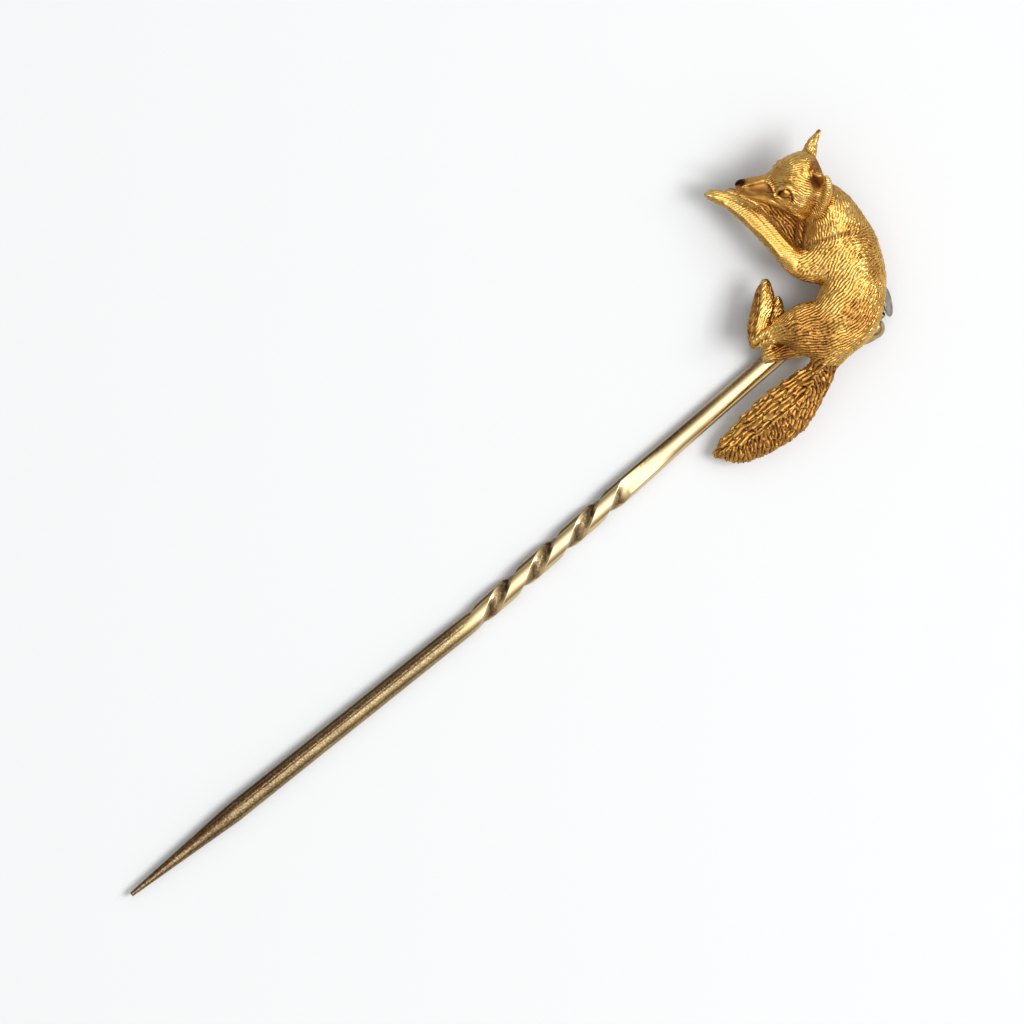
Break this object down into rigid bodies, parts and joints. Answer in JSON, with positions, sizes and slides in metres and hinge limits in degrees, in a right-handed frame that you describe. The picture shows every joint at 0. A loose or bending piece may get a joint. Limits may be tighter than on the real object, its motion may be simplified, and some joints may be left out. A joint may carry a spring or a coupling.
{
  "type": "figural fox stick pin",
  "caption": "Gold stick pin: a cast fox engraved with fur, curled as if leaping, on a wire stem with a twisted stretch and a long tapered point",
  "frame": {"origin": "on the axis of the plain round shaft, where the twist begins", "axes": "-X runs along the shaft to its point, +X toward the fox, +Z out of the fox's front toward the viewer, +Y toward the fox's head"},
  "size_m": [0.0578, 0.0141, 0.0068],
  "materials": {
    "fox_gold": "cast and hand-engraved gold of 15 to 18 carat, worn bright on the high places and copper brown in the cuts",
    "stem_gold": "drawn 9 carat gold wire, polished, with fine scratches and brown tarnish toward the point",
    "white_metal": "dull grey silver or white gold"
  },
  "bodies": {
    "root": {"fox": "fox_gold", "pin_stem": "stem_gold", "end_disc": "white_metal"}
  },
  "joints": []
}
